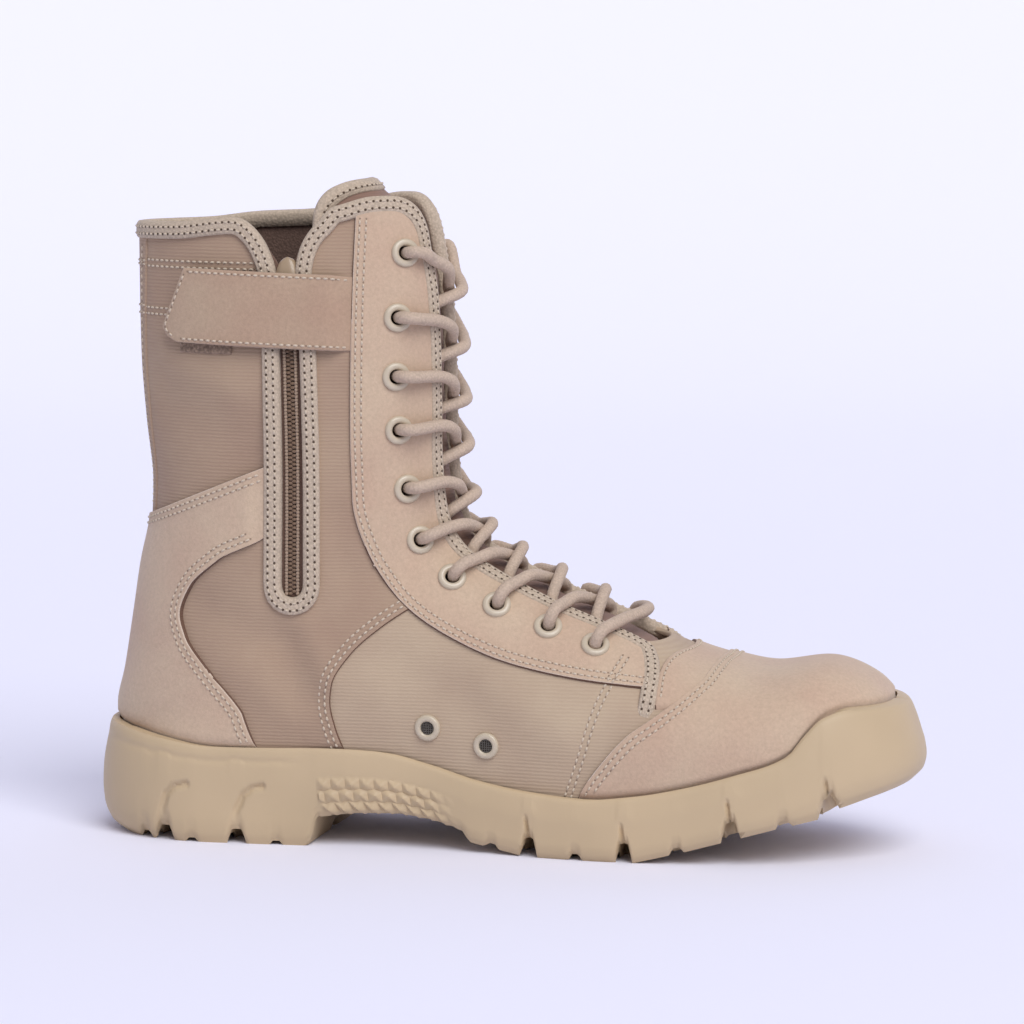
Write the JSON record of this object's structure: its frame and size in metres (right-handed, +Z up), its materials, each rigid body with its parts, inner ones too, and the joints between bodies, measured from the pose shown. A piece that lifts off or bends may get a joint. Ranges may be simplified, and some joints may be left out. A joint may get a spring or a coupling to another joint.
{
  "type": "lace-up side-zip tactical boot",
  "caption": "Left ankle-high lace-up boot with a canvas and suede upper, medial side zip under a hook-and-loop strap, and a lugged cup sole with a toe bumper.",
  "frame": {"origin": "centre of the outsole's length and width, on the ground plane under the tread", "axes": "+X to the toe, +Y to the lateral side, +Z up"},
  "size_m": [0.3, 0.107, 0.2324],
  "materials": {
    "sole_rubber": "satin moulded rubber",
    "canvas": "ribbed woven canvas",
    "insole_foam": "cloth-covered foam",
    "suede": "napped suede",
    "webbing": "woven binding tape",
    "zip_cloth": "woven zip tape",
    "zip_coil": "nylon coil",
    "loop_cloth": "looped pile",
    "painted_metal": "ivory enamel",
    "lace_cord": "round braided cord"
  },
  "bodies": {
    "root": {"sole": "sole_rubber", "upper": "canvas", "insole": "insole_foam", "tongue": "canvas", "toe_cap": "suede", "vamp_saddle": "suede", "heel_counter": "suede", "eyestay_medial": "suede", "eyestay_lateral": "suede", "back_strip": "canvas", "edge_binding": "webbing", "zip_tape": "zip_cloth", "zip_chain": "zip_coil", "zip_slider": "painted_metal", "strap": "suede", "strap_patch": "loop_cloth", "eyelet_medial_01": "painted_metal", "eyelet_lateral_01": "painted_metal", "eyelet_medial_02": "painted_metal", "eyelet_lateral_02": "painted_metal", "eyelet_medial_03": "painted_metal", "eyelet_lateral_03": "painted_metal", "eyelet_medial_04": "painted_metal", "eyelet_lateral_04": "painted_metal", "eyelet_medial_05": "painted_metal", "eyelet_lateral_05": "painted_metal", "eyelet_medial_06": "painted_metal", "eyelet_lateral_06": "painted_metal", "eyelet_medial_07": "painted_metal", "eyelet_lateral_07": "painted_metal", "eyelet_medial_08": "painted_metal", "eyelet_lateral_08": "painted_metal", "eyelet_medial_09": "painted_metal", "eyelet_lateral_09": "painted_metal", "eyelet_medial_10": "painted_metal", "eyelet_lateral_10": "painted_metal", "vent_1": "painted_metal", "vent_2": "painted_metal", "lace_cross_01": "lace_cord", "lace_cross_02": "lace_cord", "lace_cross_03": "lace_cord", "lace_cross_04": "lace_cord", "lace_cross_05": "lace_cord", "lace_cross_06": "lace_cord", "lace_cross_07": "lace_cord", "lace_cross_08": "lace_cord", "lace_cross_09": "lace_cord", "lace_bar": "lace_cord"}
  },
  "joints": []
}
